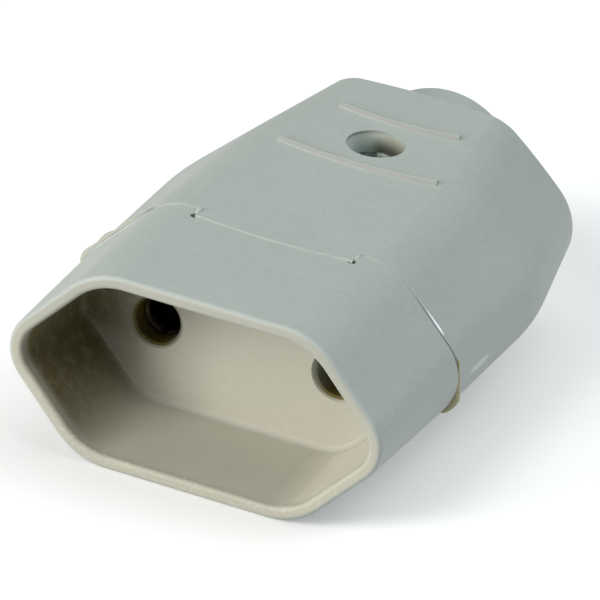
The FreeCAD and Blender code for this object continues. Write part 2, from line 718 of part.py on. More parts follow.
def build_contact(node, x):
    """A brass sleeve, split for spring, with a pillar terminal behind it."""
    body = new_body(node)
    axis = [("0", "0")]
    sleeve_start = "floor_thickness + sleeve_gap"
    sleeve = circles_at(body, f"{node}_sleeve", sleeve_start, axis, "sleeve_radius")
    extrude(body, "Pad", sleeve, f"{BLOCK_START} - ({sleeve_start})", "+Y")
    half = "block_size / 2"
    block = box_at(body, f"{node}_block", "XZ_Plane", BLOCK_START, (f"-{half}", f"-{half}"), (half, half))
    extrude(body, "Pad", block, "block_length", "+Y")
    bore = circles_at(body, f"{node}_pin_bore", sleeve_start, axis, "pin_bore_radius")
    bore = extrude(body, "Pocket", bore, f"pin_reach - ({sleeve_start})", "+Y")
    mouth = number(sleeve_start)
    width = number("2 * pin_bore_radius")
    dress(body, "Chamfer", f"{node}_lead", bore,
          lambda edge: lies_at_station(edge, mouth) and abs(edge.BoundBox.ZLength - width) < SIZE_TOLERANCE,
          "Size", "sleeve_chamfer")
    slot = box_at(body, f"{node}_slot", "XZ_Plane", sleeve_start,
                  ("-sleeve_slot / 2", "-2 * sleeve_radius"), ("sleeve_slot / 2", "2 * sleeve_radius"))
    extrude(body, "Pocket", slot, f"{BLOCK_START} - ({sleeve_start}) - slot_root", "+Y")
    wire = circles_at(body, f"{node}_wire_hole", BLOCK_END, axis, "wire_hole_radius")
    extrude(body, "Pocket", wire, "wire_hole_depth", "-Y")
    thread = round_at(body, f"{node}_screw_hole", "0", f"{BLOCK_END} - terminal_screw_inset", half,
                      "terminal_shank_radius + thread_clearance")
    extrude(body, "Pocket", thread, half, "-Z")
    return place(body, x=x)


def build_cord_clamp():
    """The strap: an arch over the cord between two drilled wings."""
    body = new_body("cord_clamp")
    arch = circles_at(body, "arch", CLAMP_FRONT, [("0", "0")], "clamp_bore_radius + clamp_arch_wall")
    extrude(body, "Pad", arch, "clamp_width", "+Y")
    wings = box_at(body, "wings", "XZ_Plane", CLAMP_FRONT,
                   ("-clamp_length / 2", "0"), ("clamp_length / 2", "clamp_thickness"))
    extrude(body, "Pad", wings, "clamp_width", "+Y")
    under = box_at(body, "underside", "XZ_Plane", CLAMP_FRONT,
                   ("-clamp_length", "-clamp_length"), ("clamp_length", "0"))
    extrude(body, "Pocket", under, "clamp_width", "+Y")
    groove = circles_at(body, "arch_groove", CLAMP_FRONT, [("0", "0")], "clamp_bore_radius")
    extrude(body, "Pocket", groove, "clamp_width", "+Y")
    holes = sketch_on(body, "wing_holes", "XY_Plane", "clamp_thickness")
    for x in CLAMP_SIDES:
        draw_circle(holes, x, "clamp_station", "clamp_screw_radius + clamp_hole_clearance")
    extrude(body, "Pocket", holes, "clamp_thickness", "-Z")
    return body


def build_all():
    """Every sub-part of the connector, in the order it goes together."""
    front = build_front_socket()
    upper = build_shell("upper_shell", 1)
    finish_upper_shell(upper)
    lower = build_shell("lower_shell", -1)
    finish_lower_shell(lower)
    pieces = [front, upper, lower]
    screw_reach = f"{HEAD_SEAT} + {NUT_SEAT} + nut_thickness + screw_tip_reach"
    screw = slotted_screw("housing_screw", "screw_head_radius", "screw_head_height", "screw_shank_radius",
                          screw_reach, "screw_slot_width", "screw_slot_depth")
    pieces += [place(screw, y="screw_station", z=HEAD_SEAT), build_housing_nut()]
    terminal_reach = "block_size / 2 + wire_hole_radius / 3"
    for word, x in zip(("left", "right"), PIN_SIDES):
        pieces.append(build_contact(f"{word}_contact", x))
        screw = slotted_screw(f"{word}_terminal_screw", "terminal_head_radius", "terminal_head_height",
                              "terminal_shank_radius", terminal_reach,
                              "terminal_slot_width", "terminal_slot_depth")
        pieces.append(place(screw, x, f"{BLOCK_END} - terminal_screw_inset", "block_size / 2"))
    pieces.append(build_cord_clamp())
    for word, x in zip(("left", "right"), CLAMP_SIDES):
        screw = slotted_screw(f"{word}_clamp_screw", "clamp_head_radius", "clamp_head_height",
                              "clamp_screw_radius", "clamp_thickness + clamp_screw_reach",
                              "clamp_slot_width", "clamp_slot_depth")
        pieces.append(place(screw, x, "clamp_station", "clamp_thickness"))
    return pieces


def check(pieces):
    """Stops the build if an object failed, a solid is unsound or a cut took nothing away."""
    doc.recompute()
    for item in doc.Objects:
        if "Invalid" in item.State or "Error" in item.State:
            raise RuntimeError(f"{item.Name} failed: {item.State}")
        if item.TypeId in CUTTERS and item.BaseFeature.Shape.Volume - item.Shape.Volume < SIZE_TOLERANCE:
            raise RuntimeError(f"{item.Name} cuts nothing")
    for piece in pieces:
        shape = piece.Shape
        if shape.isNull() or not shape.isValid() or len(shape.Solids) != 1:
            raise RuntimeError(f"{piece.Label} is not one sound solid")


parts = build_all()
check(parts)
os.makedirs("parts", exist_ok=True)
for part in parts:
    part.Shape.exportStep(f"parts/{part.Label}.step")
    box = part.Shape.optimalBoundingBox()
    print(f"{part.Label}: {part.Shape.Volume:.1f} mm3, Y {box.YMin:.2f} to {box.YMax:.2f}, "
          f"Z {box.ZMin:.2f} to {box.ZMax:.2f}")
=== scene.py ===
"""Looks of a two-pole inline socket connector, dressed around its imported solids.

Metres, in the frame of the solids: the origin is the middle of the recess floor, -Y faces the
mating plug and +Z is up.
"""

import logging
import math
from dataclasses import dataclass
from enum import Enum
from typing import Any

import bpy
from mathutils import Matrix, Vector


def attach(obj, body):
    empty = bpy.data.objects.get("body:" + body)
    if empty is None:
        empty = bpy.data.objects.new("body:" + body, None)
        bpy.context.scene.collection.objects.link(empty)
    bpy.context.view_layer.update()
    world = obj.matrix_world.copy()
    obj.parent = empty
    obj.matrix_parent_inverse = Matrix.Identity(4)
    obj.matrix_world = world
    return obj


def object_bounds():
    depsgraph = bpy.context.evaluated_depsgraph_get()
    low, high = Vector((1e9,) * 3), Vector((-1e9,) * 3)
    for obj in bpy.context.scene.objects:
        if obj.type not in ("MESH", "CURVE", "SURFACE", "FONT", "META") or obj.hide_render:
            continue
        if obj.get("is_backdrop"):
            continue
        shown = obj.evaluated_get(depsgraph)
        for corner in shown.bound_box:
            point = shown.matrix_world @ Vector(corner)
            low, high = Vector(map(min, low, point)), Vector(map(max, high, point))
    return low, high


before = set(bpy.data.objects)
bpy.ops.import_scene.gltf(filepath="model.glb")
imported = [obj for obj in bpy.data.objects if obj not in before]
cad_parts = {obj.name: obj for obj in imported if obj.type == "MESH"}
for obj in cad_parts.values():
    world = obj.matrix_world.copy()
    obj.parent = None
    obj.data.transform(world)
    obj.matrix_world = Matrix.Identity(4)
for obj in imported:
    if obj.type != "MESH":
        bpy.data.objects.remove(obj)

logging.basicConfig(level=logging.INFO, format="%(message)s")
LOG = logging.getLogger("socket_connector")

MM = 0.001
ROOT_BODY = "root"
TO_PLUG = Vector((0.0, -1.0, 0.0))
NOISE_MEAN = 0.5

Colour = tuple[float, float, float]
Span = tuple[float, float]
Materials = dict["Finish", bpy.types.Material]


def linear(level: float) -> float:
    """The linear value of a display level, both 0 to 1."""
    return level / 12.92 if level <= 0.04045 else ((level + 0.055) / 1.055) ** 2.4


def from_display(red: int, green: int, blue: int) -> Colour:
    """The linear colour of a colour given as it shows on a display, 0 to 255."""
    return tuple(linear(channel / 255) for channel in (red, green, blue))


def scaled(colour: Colour, share: float) -> Colour:
    """A colour made lighter or darker."""
    return tuple(share * channel for channel in colour)


@dataclass(frozen=True)
class Pattern:
    """A noise: the width of one blotch, how many finer layers it has and how strong those are."""

    size: float
    detail: float = 2.0
    roughness: float = 0.5


@dataclass(frozen=True)
class Relief:
    """A bump: its depth, and the share of it that shows."""

    depth: float
    strength: float


class Signal:
    """A value socket of a node tree that sums can be written with."""

    def __init__(self, tree: "NodeTree", socket: bpy.types.NodeSocket) -> None:
        """Keeps the socket and the tree that it is in."""
        self.tree = tree
        self.socket = socket

    def _sum(self, operation: str, first: Any, second: Any) -> "Signal":
        """One Math node on two values."""
        return self.tree.node("ShaderNodeMath", {"operation": operation}, {0: first, 1: second})

    def __add__(self, other: Any) -> "Signal":
        """self + other."""
        return self._sum("ADD", self, other)

    def __radd__(self, other: Any) -> "Signal":
        """other + self."""
        return self._sum("ADD", other, self)

    def __sub__(self, other: Any) -> "Signal":
        """self - other."""
        return self._sum("SUBTRACT", self, other)

    def __rsub__(self, other: Any) -> "Signal":
        """other - self."""
        return self._sum("SUBTRACT", other, self)

    def __mul__(self, other: Any) -> "Signal":
        """self * other."""
        return self._sum("MULTIPLY", self, other)

    def __rmul__(self, other: Any) -> "Signal":
        """other * self."""
        return self._sum("MULTIPLY", other, self)

    def __pow__(self, other: Any) -> "Signal":
        """self to a power."""
        return self._sum("POWER", self, other)

    def size(self) -> "Signal":
        """The value without its sign."""
        return self._sum("ABSOLUTE", self, 0.0)

    def sine(self) -> "Signal":
        """The sine of a value in radians."""
        return self._sum("SINE", self, 0.0)

    def at_least(self, other: Any) -> "Signal":
        """The larger of two values."""
        return self._sum("MAXIMUM", self, other)

    def eased(self, span: Span, base: float = 0.0) -> "Signal":
        """0 up to a span's start, 1 from its end on, smooth between them.

        Args:
            span: The start and the end.
            base: What both are counted from.

        Returns:
            The eased share.
        """
        start, end = span
        return self.tree.node("ShaderNodeMapRange", {"interpolation_type": "SMOOTHSTEP"},
                              {"Value": self, "From Min": base + start, "From Max": base + end})


class NodeTree:
    """A node tree that nodes are added to by type, settings and inputs."""

    def __init__(self, tree: bpy.types.NodeTree) -> None:
        """Keeps the tree and empties it."""
        self.tree = tree
        self.tree.nodes.clear()

    def node(self, kind: str, settings: dict[str, Any] | None = None,
             inputs: dict[str | int, Any] | None = None, output: str | int = 0) -> Signal:
        """Adds one node.

        Args:
            kind: The node's type name.
            settings: Its properties, set first.
            inputs: Values or signals for its sockets, by name or number.
            output: The socket that comes back.

        Returns:
            The wanted output.
        """
        made = self.tree.nodes.new(kind)
        for name, value in (settings or {}).items():
            setattr(made, name, value)
        for name, value in (inputs or {}).items():
            self.feed(made.inputs[name], value)
        return Signal(self, made.outputs[output])

    def feed(self, socket: bpy.types.NodeSocket, value: Any) -> None:
        """Links a signal to a socket, or sets the socket's own value.

        Args:
            socket: The socket.
            value: A signal, a number, a colour or whatever else the socket takes.
        """
        if isinstance(value, Signal):
            self.tree.links.new(value.socket, socket)
        elif socket.type == "RGBA":
            socket.default_value = (*value, 1.0)
        else:
            socket.default_value = value


class Shader(NodeTree):
    """One material's node tree, with a Principled surface to link into."""

    MIX_SHARE = 0
    MIX_FIRST = 6
    MIX_SECOND = 7
    MIX_COLOUR = 2

    def __init__(self, name: str) -> None:
        """Makes the material and its plain surface.

        Args:
            name: The material's name.
        """
        self.material = bpy.data.materials.new(name)
        self.material.use_nodes = True
        super().__init__(self.material.node_tree)
        output = self.tree.nodes.new("ShaderNodeOutputMaterial")
        self.surface = self.tree.nodes.new("ShaderNodeBsdfPrincipled")
        self.tree.links.new(self.surface.outputs["BSDF"], output.inputs["Surface"])
        self.place = self.node("ShaderNodeTexCoord", output="Object")

    def set(self, **sockets: Any) -> None:
        """Feeds the Principled surface; a name's underscores stand for spaces."""
        for name, value in sockets.items():
            self.feed(self.surface.inputs[name.replace("_", " ")], value)

    def blend(self, share: Any, first: Any, second: Any) -> Signal:
        """A colour between two colours.

        Args:
            share: 0 for the first colour, 1 for the second.
            first: A colour or a colour signal.
            second: A colour or a colour signal.

        Returns:
            The mixed colour.
        """
        inputs = {self.MIX_SHARE: share, self.MIX_FIRST: first, self.MIX_SECOND: second}
        return self.node("ShaderNodeMix", {"data_type": "RGBA"}, inputs, self.MIX_COLOUR)

    def noise(self, pattern: Pattern) -> Signal:
        """Smooth noise on object coordinates.

        Args:
            pattern: Its size and its layers.

        Returns:
            The noise, about 0.5 on average.
        """
        inputs = {"Vector": self.place, "Scale": 1 / pattern.size, "Detail": pattern.detail,
                  "Roughness": pattern.roughness}
        return self.node("ShaderNodeTexNoise", None, inputs, "Fac")

    def along(self, axis: str) -> Signal:
        """One object coordinate, in metres."""
        return self.node("ShaderNodeSeparateXYZ", None, {"Vector": self.place}, axis)

    def vectors(self, operation: str, first: Any, second: Any, output: str) -> Signal:
        """One Vector Math node on two vectors."""
        return self.node("ShaderNodeVectorMath", {"operation": operation}, {0: first, 1: second}, output)

    def normal(self) -> Signal:
        """The direction that the surface looks in."""
        return self.node("ShaderNodeNewGeometry", output="Normal")

    def distance(self, point: Vector) -> Signal:
        """How far the surface is from a point, in metres."""
        return self.vectors("DISTANCE", self.place, point, "Value")

    def facing(self, direction: Vector) -> Signal:
        """How much the surface looks in a direction, 1 at most."""
        return self.vectors("DOT_PRODUCT", self.normal(), direction.normalized(), "Value")

    def outward(self) -> Signal:
        """How much the surface looks away from the object's long axis, in metres."""
        flat = self.vectors("MULTIPLY", self.place, (1.0, 0.0, 1.0), "Vector")
        return self.vectors("DOT_PRODUCT", self.normal(), flat, "Value")

    def in_ring(self, first: Signal, second: Signal, radius: float, edge: Span) -> Signal:
        """1 within a radius of an axis and 0 outside it.

        Args:
            first: One distance from the axis.
            second: The other, square to it.
            radius: The ring's radius.
            edge: Where it fades, as shares of the radius squared.

        Returns:
            The share.
        """
        away = (first * first + second * second) * (1 / radius ** 2)
        return 1 - away.eased(edge)

    def bump(self, height: Signal, relief: Relief, under: Signal | None = None) -> Signal:
        """A bump normal.

        Args:
            height: The height signal, 0 to 1.
            relief: How deep it is and how much of it shows.
            under: A normal that it is added to.

        Returns:
            The bumped normal.
        """
        inputs = {"Strength": relief.strength, "Distance": relief.depth, "Height": height}
        if under is not None:
            inputs["Normal"] = under
        return self.node("ShaderNodeBump", None, inputs)


@dataclass(frozen=True)
class MouldedPlastic:
    """Satin light grey moulding with a fine spark-eroded grain."""

    name: str = "grey_moulding"
    skin: Colour = from_display(148, 154, 150)
    swing: float = 0.08
    roughness: float = 0.52
    roughness_swing: float = 0.1
    gloss: float = 0.35
    index: float = 1.49
    grain: Pattern = Pattern(0.09 * MM, 2.0, 0.55)
    grain_relief: Relief = Relief(0.012 * MM, 0.5)
    ripple: Pattern = Pattern(2.4 * MM, 1.0)
    ripple_relief: Relief = Relief(0.02 * MM, 0.35)
    cloud: Pattern = Pattern(7 * MM, 3.0, 0.6)
    cloud_share: float = 0.6
    mottle: Pattern = Pattern(0.9 * MM)
    mottle_share: float = 0.6
    speckle: Pattern = Pattern(0.3 * MM, 2.0, 0.6)
    speckle_share: float = 0.9

    def build(self) -> bpy.types.Material:
        """Makes the material."""
        return self.surface().material

    def surface(self) -> Shader:
        """Makes the shader.

        Returns:
            The shader, with its colour, gloss and grain.
        """
        shader = Shader(self.name)
        grain = shader.noise(self.grain)
        fine = shader.bump(grain, self.grain_relief)
        shader.set(Base_Color=self.colour(shader),
                   Roughness=self.roughness + self.roughness_swing * (grain - NOISE_MEAN),
                   IOR=self.index, Specular_IOR_Level=self.gloss,
                   Normal=shader.bump(shader.noise(self.ripple), self.ripple_relief, fine))
        return shader

    def variation(self, shader: Shader) -> Signal:
        """Clouds, mottle and speckle together.

        Args:
            shader: The shader that they are made in.

        Returns:
            Their sum, 0.5 on average.
        """
        clouds = self.cloud_share * (shader.noise(self.cloud) - NOISE_MEAN)
        mottle = self.mottle_share * (shader.noise(self.mottle) - NOISE_MEAN)
        speckle = self.speckle_share * (shader.noise(self.speckle) - NOISE_MEAN)
        return NOISE_MEAN + clouds + mottle + speckle

    def varied(self, shader: Shader, colour: Colour, swing: float) -> Signal:
        """A colour that is a little lighter and darker from place to place."""
        return shader.blend(self.variation(shader), scaled(colour, 1 - swing), scaled(colour, 1 + swing))

    def colour(self, shader: Shader) -> Signal:
        """The cloudy colour of the skin."""
        return self.varied(shader, self.skin, self.swing)


@dataclass(frozen=True)
class ShellPlastic(MouldedPlastic):
    """The rear shells' plastic, paler on its bars, with painted shade on the bars' front slopes, a painted
    highlight along the tab's edge, a knock with a painted highlight, and painted light and shade in the
    screw bore.
    """

    name: str = "shell_moulding"
    face: float = 10.15 * MM
    bar: Colour = from_display(154, 158, 153)
    # Painted shade: the bars' slopes that face the plug and the low key light are painted darker.
    bar_front_shade: Colour = from_display(136, 139, 134)
    bar_foot: Span = (0.01 * MM, 0.09 * MM)
    front_turn: Span = (0.1, 0.5)
    # A painted highlight: a paler line along the tab's front edge, where the edge catches the light.
    tab_edge_highlight: Colour = from_display(163, 168, 164)
    tab_highlight_share: float = 0.8
    tab_centre: Vector = Vector((0.0, 61.2 * MM, 10.15 * MM))
    tab_radius: float = 58 * MM
    tab_edge: Span = (-0.45 * MM, 0.0)
    tab_top: Span = (-0.3 * MM, -0.1 * MM)
    # The knock: a pale streak over a bump on the right side, partly a painted highlight on the bump.
    scuff_and_highlight: Colour = from_display(184, 188, 186)
    knock: Vector = Vector((19.6 * MM, 10.3 * MM, -0.2 * MM))
    knock_length: float = 2.7 * MM
    knock_width: float = 0.5 * MM
    knock_edge: Span = (0.1, 1.0)
    knock_side: Span = (-7.84 * MM, -3.92 * MM)
    knock_share: float = 0.6
    flecks: Pattern = Pattern(0.5 * MM, 3.0, 0.7)
    fleck_edge: Span = (0.42, 0.58)
    fleck_share: float = 0.25
    # Painted light and shade in the screw bore: lighter on the left, darker low down on the right.
    bore: Colour = from_display(146, 148, 131)
    bore_painted_light: Colour = from_display(200, 207, 200)
    bore_painted_shade: Colour = from_display(82, 86, 76)
    bore_painted_light_low: Colour = from_display(184, 200, 194)
    bore_station: float = 27.6 * MM
    bore_radius: float = 3.0 * MM
    bore_edge: Span = (0.96, 1.0)
    bore_top: Span = (-0.5 * MM, -0.15 * MM)
    bore_rise: Span = (-2.1 * MM, -0.3 * MM)
    high_turn: Span = (-2.1 * MM, 0.9 * MM)
    low_turn: Span = (-2.4 * MM, -0.6 * MM)

    def colour(self, shader: Shader) -> Signal:
        """The skin, with the bars and painted shade on their front slopes, a painted highlight along the
        tab's edge, the knock with its painted highlight, and painted light and shade in the bore.

        Args:
            shader: The shader that it is made in.

        Returns:
            The colour.
        """
        height = shader.along("Z")
        # Painted shade on the bars' slopes that face the plug.
        front = shader.facing(TO_PLUG).eased(self.front_turn)
        bars = shader.blend(front, self.bar, self.bar_front_shade)
        outside = shader.blend(height.eased(self.bar_foot, self.face), super().colour(shader), bars)
        # Painted highlight along the tab's front edge.
        tab = shader.distance(self.tab_centre).eased(self.tab_edge, self.tab_radius)
        tab = tab * height.eased(self.tab_top, self.face)
        outside = shader.blend(self.tab_highlight_share * tab, outside, self.tab_edge_highlight)
        outside = shader.blend(self.knock_and_highlight(shader), outside, self.scuff_and_highlight)
        # The screw bore's wall carries painted light and shade.
        station = shader.along("Y") - self.bore_station
        bore = shader.in_ring(shader.along("X"), station, self.bore_radius, self.bore_edge)
        bore = bore * (1 - height.eased(self.bore_top, self.face))
        return shader.blend(bore, outside, self.bore_light_and_shade(shader))

    def knock_and_highlight(self, shader: Shader) -> Signal:
        """The pale streak of a knock on the right side, partly a painted highlight on its bump.

        Args:
            shader: The shader that it is made in.

        Returns:
            How pale it is, 0 to 1.
        """
        along = (shader.along("Y") - self.knock.y) * (1 / self.knock_length)
        across = (shader.along("Z") - self.knock.z) * (1 / self.knock_width)
        streak = 1 - (along * along + across * across).eased(self.knock_edge)
        flecks = shader.noise(self.flecks).eased(self.fleck_edge)
        streak = streak * (self.knock_share + self.fleck_share * flecks)
        return streak * shader.along("X").eased(self.knock_side, self.knock.x)

    def bore_light_and_shade(self, shader: Shader) -> Signal:
        """The colour of the screw bore's wall: painted light on the left and painted shade low down on the
        right.

        Args:
            shader: The shader that it is made in.

        Returns:
            The colour.
        """
        right = shader.along("X")
        high = shader.blend(right.eased(self.high_turn), self.bore_painted_light, self.bore)
        low = shader.blend(right.eased(self.low_turn), self.bore_painted_light_low, self.bore_painted_shade)
        return shader.blend(shader.along("Z").eased(self.bore_rise, self.face), low, high)


@dataclass(frozen=True)
class HoodPlastic(MouldedPlastic):
    """The front moulding's plastic, with cream as painted warm light in the recess and on the rim, and
    painted shade on the left inside.
    """

    name: str = "hood_moulding"
    outer_turn: Span = (0.2 * MM, 10 * MM)
    # The cream stands in for warm light bounced around the recess: painted light.
    inside: Colour = from_display(163, 161, 148)
    inside_swing: float = 0.06
    # Painted light: faces that look up and to the left, the lower right inner wall, are painted lighter.
    painted_light_side: Vector = Vector((-0.72, 0.0, 0.69))
    painted_light_turn: Span = (0.905, 0.925)
    painted_light_tone: float = 1.1
    # Painted shade: the fillets deep in the recess are painted darker.
    crease_start: Span = (0.05, 0.4)
    crease_end: Span = (0.9, 0.995)
    crease_depth: Span = (-6 * MM, -5 * MM)
    crease_share: float = 0.5
    crease_tone: float = 0.6
    # Painted shade on the left inner wall and the floor's left, mottled with stains of dirt, and lifted on
    # the floor's lower part.
    painted_shade_and_grime: Colour = from_display(84, 75, 34)
    shade_and_grime_run: Span = (8.5 * MM, 15.5 * MM)
    shade_and_grime_depth: Span = (0.3 * MM, 2 * MM)
    shade_and_grime_share: float = 0.6
    stains: Pattern = Pattern(1.2 * MM, 4.0, 0.7)
    stain_edge: Span = (0.2, 0.6)
    stain_share: float = 0.3
    lifted_turn: Span = (0.8, 0.97)
    lifted_height: Span = (-3.7 * MM, -0.7 * MM)
    lifted_share: float = 0.75
    # Painted shade: the walls of the pin holes are painted dark olive.
    pin_hole_shade: Colour = from_display(88, 79, 34)
    hole_pitch: float = 19 * MM
    hole_radius: float = 2.62 * MM
    hole_edge: Span = (0.92, 1.0)
    hole_depth: Span = (0.02 * MM, 0.15 * MM)
    rim: float = -12 * MM
    rim_width: Span = (0.4 * MM, 1.4 * MM)
    # Painted shade: the rim's cream is darker towards its top.
    rim_low: Colour = from_display(153, 152, 138)
    rim_high: Colour = from_display(142, 143, 134)
    rim_rise: Span = (-4 * MM, 8 * MM)
    chalk: Colour = from_display(184, 182, 170)
    chalk_dust: Pattern = Pattern(0.5 * MM, 4.0, 0.7)
    chalk_edge: Span = (0.5, 0.7)
    chalk_height: Span = (-6 * MM, 0.0)
    chalk_share: float = 0.5

    def colour(self, shader: Shader) -> Signal:
        """The skin outside, and cream as painted warm light on every face that doesn't look outward.

        Args:
            shader: The shader that it is made in.

        Returns:
            The colour.
        """
        # Cream as painted warm light inside the recess and on the rim.
        deep = shader.along("Y").eased(self.rim_width, self.rim)
        inside = shader.blend(deep, self.rim_face(shader), self.recess(shader))
        return shader.blend(shader.outward().eased(self.outer_turn), inside, super().colour(shader))

    def recess(self, shader: Shader) -> Signal:
        """The cream of the recess as painted warm light, with painted shade in its creases and pin holes,
        painted shade and dirt on the left, and painted light on its lower right wall.

        Args:
            shader: The shader that it is made in.

        Returns:
            The colour.
        """
        depth = shader.along("Y")
        front = shader.facing(TO_PLUG)
        inside = self.varied(shader, self.inside, self.inside_swing)
        # Painted light on the lower right inner wall.
        lit_share = shader.facing(self.painted_light_side).eased(self.painted_light_turn)
        inside = shader.blend(lit_share, inside, scaled(self.inside, self.painted_light_tone))
        # Painted shade in the creases.
        crease = front.eased(self.crease_start) * (1 - front.eased(self.crease_end))
        crease = self.crease_share * crease * depth.eased(self.crease_depth)
        inside = shader.blend(crease, inside, scaled(self.inside, self.crease_tone))
        # Painted shade and dirt on the left.
        inside = shader.blend(self.shade_and_grime_cover(shader), inside, self.painted_shade_and_grime)
        # Painted shade in the pin holes.
        across = shader.along("X").size() - self.hole_pitch / 2
        pin_hole_shade = shader.in_ring(across, shader.along("Z"), self.hole_radius, self.hole_edge)
        return shader.blend(pin_hole_shade * depth.eased(self.hole_depth), inside, self.pin_hole_shade)

    def shade_and_grime_cover(self, shader: Shader) -> Signal:
        """How strong the painted shade and dirt are: on the left wall, and less on the floor's lower part.

        Args:
            shader: The shader that it is made in.

        Returns:
            The share, 0 to 1.
        """
        stains = shader.noise(self.stains).eased(self.stain_edge)
        left = -1 * shader.along("X")
        cover = left.eased(self.shade_and_grime_run) * (self.shade_and_grime_share + self.stain_share * stains)
        low = 1 - shader.along("Z").eased(self.lifted_height)
        lifted = shader.facing(TO_PLUG).eased(self.lifted_turn) * low
        return cover * (1 - self.lifted_share * lifted) * shader.along("Y").eased(self.shade_and_grime_depth, self.rim)

    def rim_face(self, shader: Shader) -> Signal:
        """The cream of the rim as painted warm light, with painted shade towards its top, chalky where it
        is low.

        Args:
            shader: The shader that it is made in.

        Returns:
            The colour.
        """
        height = shader.along("Z")
        # Painted shade towards the rim's top.
        rim = shader.blend(height.eased(self.rim_rise), self.rim_low, self.rim_high)
        chalk = shader.noise(self.chalk_dust).eased(self.chalk_edge) * (1 - height.eased(self.chalk_height))
        return shader.blend(self.chalk_share * chalk, rim, self.chalk)


@dataclass(frozen=True)
class FlashPlastic(MouldedPlastic):
    """Thin moulding flash, where the plastic is creamy and lets light through."""

    name: str = "moulding_flash"
    skin: Colour = from_display(148, 149, 140)
    glow: float = 0.35
    glow_depth: float = 0.4 * MM
    glow_tint: Colour = (1.0, 0.9, 0.5)

    def surface(self) -> Shader:
        """Makes the shader.

        Returns:
            The plastic's shader, with light let through.
        """
        shader = super().surface()
        shader.set(Subsurface_Weight=self.glow, Subsurface_Scale=self.glow_depth,
                   Subsurface_Radius=self.glow_tint)
        return shader


@dataclass(frozen=True)
class ZincPlate:
    """Zinc on the screws and the nut: light patches of its colour are painted glints, and its dark colour
    between them is painted shade on the screw head in its bore.
    """

    name: str = "zinc_steel"
    # Painted glints: patches of the near-white colour on the dark colour, which paints shade on the screw
    # head.
    colour: Colour = (0.92, 0.97, 1.0)
    dull: Colour = (0.15, 0.17, 0.18)
    cloud: Pattern = Pattern(1.5 * MM)
    glint_edge: Span = (0.48, 0.6)
    roughness: float = 0.24
    roughness_swing: float = 0.25
    scratch: Pattern = Pattern(0.8 * MM, 4.0, 0.7)
    scratch_mean: float = 0.4
    scratch_relief: Relief = Relief(0.2 * MM, 0.8)

    def build(self) -> bpy.types.Material:
        """Makes the material.

        Returns:
            The material.
        """
        shader = Shader(self.name)
        # Painted glints on painted shade.
        painted_glints = shader.noise(self.cloud).eased(self.glint_edge)
        scratch = shader.noise(self.scratch)
        shader.set(Base_Color=shader.blend(painted_glints, self.dull, self.colour), Metallic=1.0,
                   Roughness=self.roughness + self.roughness_swing * (scratch - self.scratch_mean),
                   Normal=shader.bump(scratch, self.scratch_relief))
        return shader.material


@dataclass(frozen=True)
class TurnedBrass:
    """Plain brass of the contact sleeves, darkened with painted shade where the pins go in."""

    name: str = "contact_brass"
    colour: Colour = (0.6, 0.43, 0.19)
    dull: Pattern = Pattern(2.0 * MM, 4.0)
    dull_tone: float = 0.55
    # Painted shade: the sleeves turn near black towards the pin entries, which lie in dark pin holes.
    pin_entry_shade: Colour = (0.07, 0.05, 0.03)
    pin_entry_shade_end: Span = (3.5 * MM, 7 * MM)
    roughness: float = 0.36
    roughness_swing: float = 0.2
    turning: float = 1.6 * MM
    turning_sway: float = 1.5
    turning_relief: Relief = Relief(0.01 * MM, 0.5)

    def build(self) -> bpy.types.Material:
        """Makes the material.

        Returns:
            The material.
        """
        shader = Shader(self.name)
        dull = shader.noise(self.dull)
        turned = shader.node("ShaderNodeTexWave", {"bands_direction": "Y"},
                             {"Vector": shader.place, "Scale": 1 / self.turning,
                              "Distortion": self.turning_sway})
        brass = shader.blend(dull, self.colour, scaled(self.colour, self.dull_tone))
        # Painted shade towards the pin entries.
        lit_share = shader.along("Y").eased(self.pin_entry_shade_end)
        shader.set(Base_Color=shader.blend(lit_share, self.pin_entry_shade, brass), Metallic=1.0,
                   Roughness=self.roughness + self.roughness_swing * dull,
                   Normal=shader.bump(turned, self.turning_relief))
        return shader.material


@dataclass(frozen=True)
class PaleFloor:
    """Plain pale card under the object, lit a little from within so that shadows stay light."""

    name: str = "pale_floor"
    colour: Colour = (0.66, 0.66, 0.66)
    roughness: float = 0.9
    gloss: float = 0.1
    glow: float = 0.22
    glow_colour: Colour = (1.0, 1.0, 1.0)

    def build(self) -> bpy.types.Material:
        """Makes the material.

        Returns:
            The material.
        """
        shader = Shader(self.name)
        shader.set(Base_Color=self.colour, Roughness=self.roughness, Specular_IOR_Level=self.gloss,
                   Emission_Color=self.glow_colour, Emission_Strength=self.glow)
        return shader.material


class Finish(Enum):
    """The finishes that the solids and the flash wear."""

    SHELL = ShellPlastic()
    HOOD = HoodPlastic()
    FLASH = FlashPlastic()
    BURR = FlashPlastic(name="seam_burr", skin=from_display(158, 164, 162))
    # The glint finish's near-white colour is a painted highlight on the seam's burr.
    GLINT = FlashPlastic(name="burr_glint", skin=from_display(225, 236, 236), roughness=0.2)
    LIP = FlashPlastic(name="seam_lip", skin=from_display(148, 143, 112))
    ZINC = ZincPlate()
    BRASS = TurnedBrass()


@dataclass
class Assembly:
    """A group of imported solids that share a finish."""

    title: str
    nodes: tuple[str, ...]
    finish: Finish

    def dress(self, materials: Materials) -> None:
        """Puts the group's finish on its solids.

        Args:
            materials: The built material of each finish.
        """
        for name in self.nodes:
            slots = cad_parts[name].data.materials
            slots.clear()
            slots.append(materials[self.finish])


